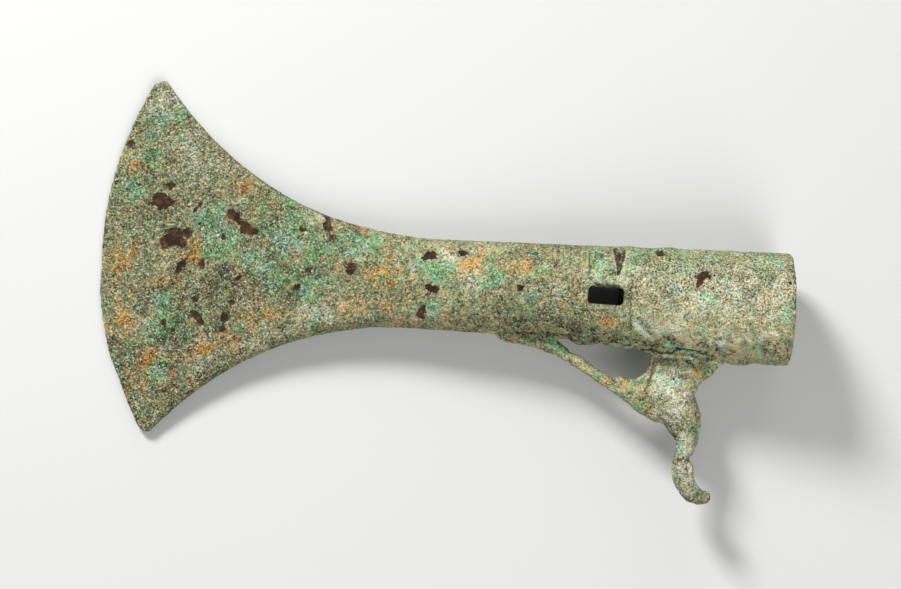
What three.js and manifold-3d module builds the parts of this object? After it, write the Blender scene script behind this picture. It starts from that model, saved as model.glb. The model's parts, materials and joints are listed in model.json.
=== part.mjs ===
import * as THREE from "three";
import { mergeVertices } from "three/addons/utils/BufferGeometryUtils.js";
import Module from "manifold-3d";

// A socketed bronze axe head, cast in one piece, lying on its side as it rests on a table.
// Lengths are in millimetres. The axe's own frame has X along the socket, from the cutting edge at 0
// to the mouth at LENGTH, Y across the blade and Z through its thickness, with the mid plane at Z 0.
// A group turns and lifts that frame, so that the finished part lies on Z 0.

// Overall sizes
const LENGTH = 220; // cutting edge to socket mouth, along the socket
const MOUTH_RADIUS = 18; // outside of the socket at its mouth
const EDGE_HALF = 0.6; // half the thickness of the worn cutting edge

// Cutting edge: one arc from horn to horn
const EDGE_ARC = 112; // its radius
const EDGE_ARC_Y = 4.5; // where its foremost point lies, beside the axis
const EDGE_ROUND = 0.6; // how far in the blunt edge reaches its thickness
const EDGE_FACE = 0.4; // share of that thickness which its worn front face has
const BOW_END = 80; // sections are bowed like the edge up to here
const BELLY = 0.95; // how much less the edge is worn on a stretch below the axis
const BELLY_Y = { from: -8.5, full: -11, fades: -28, gone: -39 };

// The two sides, each a neck that opens into a flare, with a blunt horn. The flare starts as an arc
// of the radius bend, and steepens from it towards the edge.
const UPPER = { neck: 14.4, bend: 119, start: 105, hornX: 16, hornY: 58.8, hornRound: 2.5 };
const LOWER = { neck: 14.4, bend: 116, start: 102, hornX: 18.3, hornY: 53.3, hornRound: 2.5 };
const FLARE_STEEPENS = 146; // run at which the flare has grown to twice the arc's
const UPPER_FLARE = 3.3; // how much the upper side widens evenly from neck to mouth
const LOWER_FLARE = 3.8; // how much the lower side widens, over the stretch that follows
const LOWER_FLARE_FROM = 145;
const LOWER_FLARE_TO = 210;

// Thickness, seen from the side
const BLADE_HOLLOW = 1.4; // how far the faces are hollowed below a straight wedge
const HOLLOW_END = 150; // where the hollow ends
const COLLAR_STEP = 0.35; // the mouth end of the socket stands this much proud
const COLLAR_FROM = 169.5;
const COLLAR_TO = 170.5;
const SIDE_ROUNDING = 2.3; // larger makes the sides of a flat section squarer

// Socket
const MOUTH_SKEW = THREE.MathUtils.degToRad(2); // the mouth is cut this much out of square
const SKEW_FROM = 170; // sections turn from square to the mouth's slant beyond here
const RIM_ROUND = 0.8; // rounding of the rim's outer corner
const RIM_BEVEL = 0.6; // bevel of the rim's inner corner
const WALL_MOUTH = 3.4; // wall thickness at the mouth
const WALL_FLOOR = 4.2; // and at the socket's floor
const FLOOR_X = 125; // the floor of the socket
const FLOOR_ROUND = 8; // length of its rounded end

// Peg slot, through both walls of the socket
const SLOT = { from: 155.1, to: 166.4, low: -2.6, high: 2.8, corner: 1.0 };

// Strut, haunch and curled foot under the socket: centre x, y, half width in plan, half depth
const STRUT = [
  [127.6, -12.9, 1.2, 1.6],
  [130, -13.9, 2.7, 2.4],
  [135, -14.3, 2.7, 2.6],
  [140, -15.2, 2.7, 2.5],
  [145, -16.9, 2.6, 2.3],
  [148, -18.4, 2.0, 2.1],
  [151, -20.5, 1.65, 2.0],
  [155, -22.0, 1.85, 1.9],
  [160, -24.9, 1.8, 1.9],
  [165, -27.5, 2.2, 2.0],
  [170, -29.1, 3.5, 2.3],
  [175, -30.5, 5.4, 2.8],
  [181, -33.5, 5.6, 3.2],
];
const LIMB = [
  [188.6, -13.5, 12.4, 3.0],
  [188.8, -17.9, 12.2, 2.9],
  [187.6, -20.2, 11.0, 2.9],
  [186.4, -22.6, 10.8, 2.9],
  [185.0, -24.2, 10.0, 3.0],
  [183.8, -25.8, 9.4, 3.1],
  [184.3, -27.6, 8.2, 3.4],
  [184.7, -30.4, 7.0, 3.9],
  [186.9, -34.0, 6.3, 4.2],
  [188.6, -38.3, 6.1, 4.1],
  [189.9, -42.0, 4.6, 3.6],
  [190.2, -45.5, 3.4, 3.0],
  [189.1, -49.5, 2.5, 2.5],
  [189.6, -53.5, 3.3, 2.8],
  [190.6, -57.5, 3.1, 2.8],
  [192.6, -60.3, 3.2, 2.6],
  [195.0, -61.5, 2.7, 2.3],
  [197.1, -61.8, 2.15, 2.0],
];
const LEVEL_ABOVE = -32; // the limb's sections turn level here, because the plate above is lopsided
const LEVEL_FADE = 3;

// Rest: the underside of the collar is flattened by this much where it lies on the table
const FLAT_DEPTH = 0.2;

const CLEARANCE = 5; // how far a cut reaches past what it cuts

// Fineness of the facets
const BODY_RINGS = 38;
const BODY_RING_CROWDING = 1.25; // above 1, the rings lie closer near the cutting edge
const BODY_SIDES = 48;
const BORE_RINGS = 14;
const BORE_SIDES = 32;
const FLOOR_TURNS = [0.15, 0.4, 0.7, 1.0, 1.3]; // angles of the rings on the rounded floor
const SLOT_CORNER_STEPS = 3;
const ROD_RINGS = 2; // from each station to the next
const ROD_SIDES = 14;
const ROD_END_TURNS = [0.5, 1.0, 1.35]; // angles of the rings on a rod's round end
const SEARCH_STEPS = 60; // to find where a bowed section meets the side's outline

const BRONZE = new THREE.MeshStandardMaterial({ color: 0x82805f, roughness: 0.85, metalness: 0.15 });

const clamp01 = (t) => Math.min(1, Math.max(0, t));
const smoothstep = (t) => clamp01(t) ** 2 * (3 - 2 * clamp01(t));

// Half the width beside the axis at x, on the upper or the lower side.
function halfWidth(x, side) {
  const run = Math.max(0, side.start - x);
  const flare = side.neck + (run ** 2 / (2 * side.bend)) * (1 + (run / FLARE_STEEPENS) ** 2);
  const horn = side.hornY - (x - side.hornX) ** 2 / (2 * side.hornRound);
  const bladeSide = x < side.hornX + side.hornRound ? Math.min(flare, horn) : flare;
  const widening =
    side === UPPER
      ? UPPER_FLARE * clamp01((x - side.start) / (LENGTH - side.start))
      : LOWER_FLARE * smoothstep((x - LOWER_FLARE_FROM) / (LOWER_FLARE_TO - LOWER_FLARE_FROM));
  return bladeSide + widening;
}

// Half the thickness at x: a straight wedge, hollowed between edge and neck, with the collar's step.
function halfThickness(x) {
  const wedge = EDGE_HALF + ((MOUTH_RADIUS - COLLAR_STEP - EDGE_HALF) * x) / LENGTH;
  const hollow = x < HOLLOW_END ? BLADE_HOLLOW * Math.sin((Math.PI * x) / HOLLOW_END) ** 2 : 0;
  const collar = COLLAR_STEP * smoothstep((x - COLLAR_FROM) / (COLLAR_TO - COLLAR_FROM));
  return wedge - hollow + collar;
}

// How far the cutting edge has swept back at y: its arc, less the belly.
function sag(y) {
  const arc = EDGE_ARC - Math.sqrt(EDGE_ARC ** 2 - (y - EDGE_ARC_Y) ** 2);
  const { from, full, fades, gone } = BELLY_Y;
  return arc - BELLY * smoothstep((from - y) / (from - full)) * (1 - smoothstep((fades - y) / (fades - gone)));
}

// Share of that sweep that the section through x on the axis still has.
function bow(x) {
  return x < BOW_END ? (1 - x / BOW_END) ** 1.5 : 0;
}

// Half width of the section that crosses the axis at x, found where it meets the side's outline.
function sectionHalfWidth(x, side) {
  const sign = side === UPPER ? 1 : -1;
  let w = side.hornY;
  for (let i = 0; i < SEARCH_STEPS; i++) w = halfWidth(x + bow(x) * sag(sign * w), side);
  return w;
}

// Joins rings of points, each with the same count, into a closed surface. Each end is closed by
// bars across it, from a point of the ring's upper half to the one below it.
function loftedGeometry(rings) {
  const count = rings[0].length;
  const at = (ring, k) => ring * count + (k % count);
  const index = [];
  const triangle = (a, b, c) => {
    if (a !== b && b !== c && c !== a) index.push(a, b, c);
  };
  const quad = (a, b, c, d) => {
    triangle(a, b, c);
    triangle(a, c, d);
  };
  for (let k = 0; k < count; k++) {
    for (let r = 1; r < rings.length; r++) quad(at(r - 1, k), at(r - 1, k + 1), at(r, k + 1), at(r, k));
  }
  const last = rings.length - 1;
  for (let k = 0; k < count / 2; k++) {
    quad(at(0, k + 1), at(0, k), at(0, count - k), at(0, count - k - 1));
    quad(at(last, k), at(last, k + 1), at(last, count - k - 1), at(last, count - k));
  }
  return new THREE.BufferGeometry().setFromPoints(rings.flat()).setIndex(index);
}

// Exponent of a section's outline: 2 is an oval, and a flat section's is larger, so that its sides
// stay rounded over about one thickness whatever its width.
function squareness(t, w) {
  return Math.max(2, SIDE_ROUNDING / -Math.log(1 - Math.min(t / w, 0.99)));
}

// One section across the body. An inset shrinks it all round, for the rounding of the rim.
function bodyRing(x, inset) {
  const t = halfThickness(x) - inset;
  const blunt = THREE.MathUtils.lerp(EDGE_FACE, 1, Math.sqrt(clamp01(x / EDGE_ROUND)));
  return Array.from({ length: BODY_SIDES }, (_, k) => {
    const angle = (2 * Math.PI * k) / BODY_SIDES;
    const across = Math.cos(angle);
    const w = sectionHalfWidth(x, across >= 0 ? UPPER : LOWER) - inset;
    const up = (1 - Math.abs(across) ** squareness(t, w)) ** (1 / 2) * Math.sign(Math.sin(angle));
    return placed(x, w * across, k % (BODY_SIDES / 2) === 0 ? 0 : t * blunt * up);
  });
}

// A point of a section: swept back like the edge near the blade, and slanted near the mouth.
function placed(x, y, z) {
  const slant = Math.tan(MOUTH_SKEW) * smoothstep((x - SKEW_FROM) / (LENGTH - SKEW_FROM));
  return new THREE.Vector3(x + bow(x) * sag(y) - slant * y, y, z);
}

// The outside of blade and socket, still solid.
function bodyGeometry() {
  const stops = [0, EDGE_ROUND / 4, EDGE_ROUND, COLLAR_FROM, COLLAR_TO];
  for (let i = 1; i <= BODY_RINGS; i++) {
    stops.push((LENGTH - RIM_ROUND) * (i / BODY_RINGS) ** BODY_RING_CROWDING);
  }
  const rings = stops.sort((a, b) => a - b).map((x) => bodyRing(x, 0));
  for (const turn of [Math.PI / 4, Math.PI / 2]) {
    const x = LENGTH - RIM_ROUND * (1 - Math.sin(turn));
    rings.push(bodyRing(x, RIM_ROUND * (1 - Math.cos(turn))));
  }
  return loftedGeometry(rings);
}

// One section of the room inside the socket: the outside less the wall. At the rim the wall is
// thinner by the bevel, and at the rounded floor the section is scaled down.
function boreRing(x, scale, bevel) {
  const wall = THREE.MathUtils.mapLinear(x, LENGTH, FLOOR_X, WALL_MOUTH, WALL_FLOOR) - bevel;
  const t = (halfThickness(x) - wall) * scale;
  return Array.from({ length: BORE_SIDES }, (_, k) => {
    const angle = (2 * Math.PI * k) / BORE_SIDES;
    const w = (halfWidth(x, Math.cos(angle) >= 0 ? UPPER : LOWER) - wall) * scale;
    return placed(x, w * Math.cos(angle), t * Math.sin(angle));
  });
}

function boreGeometry() {
  const round = (turn) => FLOOR_X + FLOOR_ROUND * (1 - Math.cos(turn));
  const rings = FLOOR_TURNS.map((turn) => boreRing(round(turn), Math.sin(turn), 0));
  const start = FLOOR_X + FLOOR_ROUND;
  for (let i = 0; i <= BORE_RINGS; i++) {
    rings.push(boreRing(start + ((LENGTH - RIM_BEVEL - start) * i) / BORE_RINGS, 1, 0));
  }
  const rim = boreRing(LENGTH, 1, RIM_BEVEL);
  rings.push(rim);
  rings.push(rim.map((p) => p.clone().setX(p.x + CLEARANCE)));
  return loftedGeometry(rings);
}

// A rectangle with rounded corners, pushed through both walls.
function slotGeometry() {
  const depth = 2 * (MOUTH_RADIUS + CLEARANCE);
  const { from, to, low, high, corner } = SLOT;
  const outline = new THREE.Shape();
  outline.moveTo(from + corner, low);
  outline.lineTo(to - corner, low);
  outline.absarc(to - corner, low + corner, corner, -Math.PI / 2, 0);
  outline.lineTo(to, high - corner);
  outline.absarc(to - corner, high - corner, corner, 0, Math.PI / 2);
  outline.lineTo(from + corner, high);
  outline.absarc(from + corner, high - corner, corner, Math.PI / 2, Math.PI);
  outline.lineTo(from, low + corner);
  outline.absarc(from + corner, low + corner, corner, Math.PI, 1.5 * Math.PI);
  const settings = { depth, bevelEnabled: false, curveSegments: SLOT_CORNER_STEPS };
  return new THREE.ExtrudeGeometry(outline, settings).translate(0, 0, -depth / 2);
}

// An oval rod whose centre line and sizes run smoothly through the stations, with a round far end.
// Its sections are square to the centre line, or square to Y above the given level.
function rodGeometry(stations, levelAbove = Infinity) {
  const centre = new THREE.CatmullRomCurve3(stations.map(([x, y]) => new THREE.Vector3(x, y, 0)));
  const sizes = new THREE.CatmullRomCurve3(stations.map(([, , w, d]) => new THREE.Vector3(w, d, 0)));
  const ringAt = (t, scale, ahead) => {
    const level = smoothstep((centre.getPoint(t).y - levelAbove) / LEVEL_FADE);
    const along = centre.getTangent(t).lerp(new THREE.Vector3(0, -1, 0), level).normalize();
    const across = new THREE.Vector3(along.y, -along.x, 0);
    const size = sizes.getPoint(t);
    const middle = centre.getPoint(t).addScaledVector(along, ahead * size.x);
    return Array.from({ length: ROD_SIDES }, (_, k) => {
      const angle = (2 * Math.PI * k) / ROD_SIDES;
      const point = middle.clone().addScaledVector(across, size.x * scale * Math.cos(angle));
      return point.setZ(size.y * scale * Math.sin(angle));
    });
  };
  const steps = (stations.length - 1) * ROD_RINGS;
  const rings = Array.from({ length: steps + 1 }, (_, i) => ringAt(i / steps, 1, 0));
  const end = ROD_END_TURNS.map((turn) => ringAt(1, Math.cos(turn), Math.sin(turn)));
  return loftedGeometry([...rings, ...end]);
}

const wasm = await Module();
wasm.setup();

// A closed geometry as a solid, turned right way round if its faces point inwards.
function solidFrom(geometry) {
  for (const name of ["normal", "uv"]) geometry.deleteAttribute(name);
  const merged = mergeVertices(geometry);
  const triVerts = new Uint32Array(merged.index.array);
  const vertProperties = merged.attributes.position.array;
  const solid = () => new wasm.Manifold(new wasm.Mesh({ numProp: 3, vertProperties, triVerts }));
  if (solid().volume() < 0) triVerts.reverse();
  return solid();
}

function geometryFrom(solid) {
  const mesh = solid.getMesh();
  const geometry = new THREE.BufferGeometry();
  geometry.setAttribute("position", new THREE.BufferAttribute(mesh.vertProperties, 3));
  geometry.setIndex(new THREE.BufferAttribute(mesh.triVerts, 1));
  return geometry.toNonIndexed();
}

// The table's surface in the axe's own frame: it touches the cutting edge and the collar's flat.
const edgeUnderside = halfThickness(EDGE_ROUND);
const mouthUnderside = MOUTH_RADIUS - FLAT_DEPTH;
const tilt = Math.atan2(mouthUnderside - edgeUnderside, LENGTH - EDGE_ROUND);

// What lies below the table, from the floor of the socket to past its mouth.
function belowTable() {
  const block = new THREE.BoxGeometry(LENGTH, LENGTH, MOUTH_RADIUS);
  block.translate(FLOOR_X + LENGTH / 2, 0, -MOUTH_RADIUS / 2);
  return block.rotateY(tilt).translate(EDGE_ROUND, 0, -edgeUnderside);
}

const limbs = [rodGeometry(STRUT), rodGeometry(LIMB, LEVEL_ABOVE)].map(solidFrom);
const cast = limbs.reduce((all, limb) => all.add(limb), solidFrom(bodyGeometry()));
const cuts = [boreGeometry(), slotGeometry(), belowTable()].map(solidFrom);
const axe = cuts.reduce((left, cut) => left.subtract(cut), cast);

const axeHead = new THREE.Mesh(geometryFrom(axe), BRONZE);
axeHead.name = "axe_head";
axeHead.geometry.computeVertexNormals();

// The frame's origin is on the table, under the middle of the lying part's outline.
const lying = new THREE.Group();
lying.add(axeHead);
lying.rotation.y = -tilt;
const box = new THREE.Box3().setFromObject(lying, true);
const middle = box.getCenter(new THREE.Vector3());
lying.position.set(-middle.x, -middle.y, -box.min.z);

const part = new THREE.Group();
part.add(lying);

export default part;
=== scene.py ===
# %% [markdown]
# A socketed bronze axe head
#
# The object is one bronze casting: a long round socket for the haft, a neck that flattens into a
# crescent blade, and a thin strut under the socket that ends in a small hind leg. It has been in the
# ground for three thousand years, so nearly all of what the eye sees is corrosion: crust, grains of
# green, tan and cream, and dark red-brown spots where the crust has flaked away.
#
# The lesson goes from the plain cast form to that surface. First come the smooth forms, each worked
# out with numpy. They are fused into one skin, and the skin is roughened by moving its points. Then a
# material colours the grains. Lights and a camera come last.

import json
import math

import bpy
import numpy as np
from mathutils import Matrix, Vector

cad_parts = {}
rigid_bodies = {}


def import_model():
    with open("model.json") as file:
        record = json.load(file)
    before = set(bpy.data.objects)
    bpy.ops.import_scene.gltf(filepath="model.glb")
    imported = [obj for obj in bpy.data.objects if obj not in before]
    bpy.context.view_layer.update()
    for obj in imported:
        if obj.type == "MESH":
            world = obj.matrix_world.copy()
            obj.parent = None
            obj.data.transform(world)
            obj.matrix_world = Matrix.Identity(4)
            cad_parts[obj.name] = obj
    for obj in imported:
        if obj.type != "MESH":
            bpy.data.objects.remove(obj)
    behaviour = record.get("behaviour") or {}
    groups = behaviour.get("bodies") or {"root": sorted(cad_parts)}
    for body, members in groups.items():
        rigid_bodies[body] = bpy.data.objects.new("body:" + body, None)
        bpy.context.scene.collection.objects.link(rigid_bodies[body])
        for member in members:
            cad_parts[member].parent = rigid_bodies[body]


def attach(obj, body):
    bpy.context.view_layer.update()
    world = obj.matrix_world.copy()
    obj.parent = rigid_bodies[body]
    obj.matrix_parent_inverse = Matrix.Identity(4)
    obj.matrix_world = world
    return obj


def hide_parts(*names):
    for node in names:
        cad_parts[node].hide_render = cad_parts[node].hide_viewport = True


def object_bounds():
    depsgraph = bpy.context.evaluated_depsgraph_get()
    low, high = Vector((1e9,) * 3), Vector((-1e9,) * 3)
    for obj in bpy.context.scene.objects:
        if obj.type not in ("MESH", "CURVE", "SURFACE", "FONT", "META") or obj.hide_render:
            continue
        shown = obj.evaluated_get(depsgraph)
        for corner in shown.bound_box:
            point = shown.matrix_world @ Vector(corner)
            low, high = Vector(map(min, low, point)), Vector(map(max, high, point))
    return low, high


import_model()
cad_low, cad_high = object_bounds()
print("frame box in mm:", [round(1000 * v, 1) for v in (*cad_low, *cad_high)])

# %% [markdown]
# Everything below is written in millimetres, in the axe's own frame: X runs along the socket, from
# the cutting edge at 0 to the mouth at 220, Y across the blade and Z through its thickness. The
# lying pose, with the blade's edge and the socket's underside both on the table, is put on last.
#
# The outline of the blade is two curved flares and one arc for the cutting edge, which is worn a
# little less on a stretch below the middle. The flares start at the neck as arcs and steepen towards
# the horns. Each is a short formula of x, so the same few numbers give the outline at any fineness.

# %% Sizes of the casting
MM = 0.001
LENGTH = 220.0
MOUTH_RADIUS = 18.0
EDGE_HALF = 0.6
EDGE_ARC = 112.0
EDGE_ARC_Y = 4.5
EDGE_ROUND = 0.6
EDGE_FACE = 0.4
BOW_END = 80.0
BELLY = 0.95
BELLY_Y = {"from": -8.5, "full": -11.0, "fades": -28.0, "gone": -39.0}
UPPER = {"neck": 14.4, "bend": 119.0, "start": 105.0, "horn": (16.0, 58.8), "round": 2.5, "widens": 3.3}
LOWER = {"neck": 14.4, "bend": 116.0, "start": 102.0, "horn": (18.3, 53.3), "round": 2.5, "widens": 3.8}
LOWER_WIDENS = (145.0, 210.0)
FLARE_STEEPENS = 146.0
BLADE_HOLLOW = 1.4
HOLLOW_END = 150.0
COLLAR = (169.5, 170.5, 0.35)
WALL = (3.4, 4.2)
FLOOR_X = 125.0
FLOOR_ROUND = 8.0
MOUTH_SKEW = math.tan(math.radians(2))
SKEW_FROM = 170.0


def ease(t):
    """Smooth step from 0 to 1: three t squared less two t cubed, held flat outside 0 to 1."""
    t = np.clip(t, 0, 1)
    return t * t * (3 - 2 * t)


def half_width(x, side):
    """Neck, plus run squared over twice the bend, steepened, cut by the horn's small parabola. Past
    the neck it widens, evenly on the upper side and with a smooth step on the lower."""
    run = np.maximum(side["start"] - x, 0)
    flare = side["neck"] + run**2 / (2 * side["bend"]) * (1 + (run / FLARE_STEEPENS) ** 2)
    horn_x, horn_y = side["horn"]
    horn = horn_y - (x - horn_x) ** 2 / (2 * side["round"])
    blade = np.where(x < horn_x + side["round"], np.minimum(flare, horn), flare)
    if side is UPPER:
        return blade + side["widens"] * np.clip((x - side["start"]) / (LENGTH - side["start"]), 0, 1)
    widens_from, widens_to = LOWER_WIDENS
    return blade + side["widens"] * ease((x - widens_from) / (widens_to - widens_from))


def half_thickness(x):
    """A straight wedge from edge to mouth, less a sine-squared hollow, plus the collar's step."""
    collar_from, collar_to, collar_step = COLLAR
    wedge = EDGE_HALF + (MOUTH_RADIUS - collar_step - EDGE_HALF) * x / LENGTH
    hollow = BLADE_HOLLOW * np.sin(np.pi * np.minimum(x, HOLLOW_END) / HOLLOW_END) ** 2
    return wedge - hollow + collar_step * ease((x - collar_from) / (collar_to - collar_from))


print("half thickness at edge, neck, mouth:", [round(float(half_thickness(x)), 2) for x in (0, 110, 220)])

# %% [markdown]
# Sections across the blade are bowed like the cutting edge, so that the thin rim of the blade is one
# clean ring of points from horn to horn. Further back the bow fades out, and near the mouth the
# sections lean a little, because the mouth was cut slightly out of square.

# %% Bowed sections


def sag(y):
    """How far the edge has swept back at y: an arc of its radius, less a belly below the axis."""
    comes = ease((BELLY_Y["from"] - y) / (BELLY_Y["from"] - BELLY_Y["full"]))
    goes = ease((BELLY_Y["fades"] - y) / (BELLY_Y["fades"] - BELLY_Y["gone"]))
    return EDGE_ARC - np.sqrt(EDGE_ARC**2 - (y - EDGE_ARC_Y) ** 2) - BELLY * comes * (1 - goes)


def bow(x):
    """Share of the edge's sweep that a section keeps: one less x over its end, to the power 1.5."""
    return np.maximum(1 - x / BOW_END, 0) ** 1.5


def section_half_width(x, side):
    """Half width where the bowed section meets the outline, found by putting it in again and again."""
    sign = 1 if side is UPPER else -1
    w = np.full_like(x, side["horn"][1])
    for _ in range(60):
        w = half_width(x + bow(x) * sag(sign * w), side)
    return w


def placed(x, y, z):
    """A point of a section: x is moved by the bow near the edge and by the lean near the mouth."""
    lean = MOUTH_SKEW * ease((x - SKEW_FROM) / (LENGTH - SKEW_FROM))
    return np.stack([x + bow(x) * sag(y) - lean * y, y, z], axis=-1)


def sections(x, inset, sides, blunt=1.0, squared=True):
    """Rings round the body at each x, shrunk by inset. Width follows the cosine of the angle round,
    height the square root of one less that cosine to a power, which is 2 for an oval and more for a
    flat section, so that its sides stay rounded over about one thickness."""
    x = np.asarray(x, float)[:, None]
    angle = 2 * np.pi * np.arange(sides)[None, :] / sides
    across = np.cos(angle) + 0 * x
    w = np.where(across >= 0, section_half_width(x, UPPER), section_half_width(x, LOWER)) - inset
    t = half_thickness(x) - inset
    power = np.maximum(2, -2.3 / np.log(1 - np.minimum(t / w, 0.99))) if squared else 2
    height = np.sqrt(np.maximum(1 - np.abs(across) ** power, 0)) * np.sign(np.sin(angle))
    height[:, [0, sides // 2]] = 0
    return x + 0 * w, w * across, t * blunt * height


# %% [markdown]
# A surface that is made of rings needs only one recipe: neighbouring rings are joined by quads, and
# the first and last ring are closed by bars across them, from each point of the upper half to the
# one below it. The body is such a surface too. Its rings run up the outside, over the rim and down
# the inside of the socket to its floor, like a sock turned half in on itself.

# %% Rings into a closed surface


def ring_walls(rings):
    """The point numbers of an array of rings, and the quads that join each ring to the next."""
    count, around = rings.shape[:2]
    at = np.arange(count * around).reshape(count, around)
    after = np.roll(at, -1, axis=1)
    return at, np.stack([at[:-1], after[:-1], after[1:], at[1:]], axis=-1).reshape(-1, 4).tolist()


def lofted(rings):
    """Vertices and faces of a closed surface through an array of rings, shaped ring, point, xyz."""
    at, walls = ring_walls(rings)
    around = rings.shape[1]
    k = np.arange(1, around // 2 - 1)
    bars = np.stack([k + 1, k, around - k, around - k - 1], axis=-1)
    ends = np.array([[1, 0, around - 1], [around // 2 + 1, around // 2, around // 2 - 1]])
    last = at[-1, 0]
    faces = walls + bars.tolist() + ends.tolist()
    faces += (bars[:, ::-1] + last).tolist() + (ends[:, ::-1] + last).tolist()
    return rings.reshape(-1, 3), faces


def mesh_object(name, points, faces):
    """A mesh object from points in millimetres."""
    mesh = bpy.data.meshes.new(name)
    mesh.from_pydata((points * MM).tolist(), [], faces)
    mesh.validate()
    made = bpy.data.objects.new(name, mesh)
    bpy.context.scene.collection.objects.link(made)
    return made


SIDES = 192
RINGS = 200
RINGS_CROWD = 1.2
RIM_ROUND = 0.8
spread = LENGTH * (np.arange(1, RINGS) / RINGS) ** RINGS_CROWD
outer_x = np.r_[0, EDGE_ROUND / 4, EDGE_ROUND, spread, LENGTH - RIM_ROUND]
blunt = (EDGE_FACE + (1 - EDGE_FACE) * np.sqrt(np.minimum(outer_x / EDGE_ROUND, 1)))[:, None]
outside = placed(*sections(outer_x, 0, SIDES, blunt))
turns = np.radians([30, 60, 90])
rim_x = LENGTH - RIM_ROUND * (1 - np.sin(turns))
rim = placed(*sections(rim_x, RIM_ROUND * (1 - np.cos(turns[:, None])), SIDES))
print("rings outside and on the rim:", len(outside), len(rim))

# %% [markdown]
# The inside of the socket is the outside less the wall, which is thicker towards the closed end. Its
# floor is rounded by shrinking the last rings. The rim has a small bevel inside, as the edge of a
# mould core leaves.

# %% The body with its hollow socket
RIM_BEVEL = 0.6
straight_x = np.r_[LENGTH, LENGTH - RIM_BEVEL, np.linspace(LENGTH - 2, FLOOR_X + FLOOR_ROUND, 60)]
floor_turn = np.array([1.35, 1.1, 0.85, 0.6, 0.35, 0.15])
inner_x = np.r_[straight_x, FLOOR_X + FLOOR_ROUND * (1 - np.cos(floor_turn))]
shrink = np.r_[np.ones(len(straight_x)), np.sin(floor_turn)][:, None]
mouth_wall, end_wall = WALL
wall = mouth_wall + (end_wall - mouth_wall) * (LENGTH - inner_x) / (LENGTH - FLOOR_X)
wall = wall - RIM_BEVEL * (inner_x == LENGTH)
bore_x, bore_y, bore_z = sections(inner_x, wall[:, None], SIDES, squared=False)
inside = placed(bore_x, bore_y * shrink, bore_z * shrink)
body = mesh_object("body", *lofted(np.concatenate([outside, rim, inside])))
print("body:", len(body.data.polygons), "faces")

# %% [markdown]
# The strut and the little leg are oval rods. Each is a list of stations, read off the object: where
# the middle is, how wide it is in plan and how deep. A Catmull-Rom curve runs smoothly through all four
# numbers at once, and rings are set square to its path. The plate at the leg's root is lopsided, so its
# rings lie level instead.

# %% Strut and leg
STRUT = np.array([
    [127.6, -12.9, 1.2, 1.6], [130, -13.9, 2.7, 2.4], [135, -14.3, 2.7, 2.6], [140, -15.2, 2.7, 2.5],
    [145, -16.9, 2.6, 2.3], [148, -18.4, 2.0, 2.1], [151, -20.5, 1.65, 2.0], [155, -22.0, 1.85, 1.9],
    [160, -24.9, 1.8, 1.9], [165, -27.5, 2.2, 2.0], [170, -29.1, 3.5, 2.3], [175, -30.5, 5.4, 2.8],
    [181, -33.5, 5.6, 3.2],
])
LIMB = np.array([
    [188.6, -13.5, 12.4, 3.0], [188.8, -17.9, 12.2, 2.9], [187.6, -20.2, 11.0, 2.9],
    [186.4, -22.6, 10.8, 2.9], [185.0, -24.2, 10.0, 3.0], [183.8, -25.8, 9.4, 3.1],
    [184.3, -27.6, 8.2, 3.4], [184.7, -30.4, 7.0, 3.9], [186.9, -34.0, 6.3, 4.2],
    [188.6, -38.3, 6.1, 4.1], [189.9, -42.0, 4.6, 3.6],
    [190.2, -45.5, 3.4, 3.0], [189.1, -49.5, 2.5, 2.5], [189.6, -53.5, 3.3, 2.8],
    [190.6, -57.5, 3.1, 2.8], [192.6, -60.3, 3.2, 2.6], [195.0, -61.5, 2.7, 2.3],
    [197.1, -61.8, 2.15, 2.0],
])
LEVEL_ABOVE = -32.0
LEVEL_FADE = 3.0


def through(stations, steps):
    """A smooth curve through the stations: on each stretch the Catmull-Rom cubic of its neighbours."""
    p = np.vstack([2 * stations[0] - stations[1], stations, 2 * stations[-1] - stations[-2]])
    t = np.linspace(0, 1, steps, endpoint=False)[None, :, None]
    a, b, c, d = p[:-3, None], p[1:-2, None], p[2:-1, None], p[3:, None]
    curve = b + t / 2 * (c - a + t * (2 * a - 5 * b + 4 * c - d + t * (3 * (b - c) + d - a)))
    return np.vstack([curve.reshape(-1, stations.shape[1]), stations[-1]])


def rod(stations, level_above=math.inf, steps=8, around=48):
    """Oval rings square to the path, or square to Y above a level, with a round far end that shrinks
    like a quarter circle."""
    curve = through(stations, steps)
    along = np.gradient(curve[:, :2], axis=0)
    along /= np.linalg.norm(along, axis=1, keepdims=True)
    level = ease((curve[:, 1:2] - level_above) / LEVEL_FADE)
    along = along * (1 - level) + np.array([0, -1]) * level
    along /= np.linalg.norm(along, axis=1, keepdims=True)
    end = np.radians([20, 40, 60, 80])
    scale = np.r_[np.ones(len(curve)), np.cos(end)][:, None]
    ahead = np.r_[np.zeros(len(curve)), np.sin(end) * curve[-1, 2]][:, None]
    curve = np.vstack([curve, np.repeat(curve[-1:], len(end), axis=0)])
    along = np.vstack([along, np.repeat(along[-1:], len(end), axis=0)])
    middle = curve[:, :2] + ahead * along
    angle = 2 * np.pi * np.arange(around)[None, :] / around
    sideways = scale * curve[:, 2:3] * np.cos(angle)
    x = middle[:, :1] + along[:, 1:] * sideways
    y = middle[:, 1:] - along[:, :1] * sideways
    return np.stack([x, y, scale * curve[:, 3:] * np.sin(angle)], axis=-1)


# %% [markdown]
# Small lumps finish the silhouette: a green web where the strut leaves the socket, flakes of crust
# that hang from the socket's underside into the gap, a ledge of crust where the plate joins the
# socket, a pale swelling on the shank and two low ones on the socket's upper side. Each is a squashed
# ball: middle, three half sizes and a turn in plan.

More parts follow.
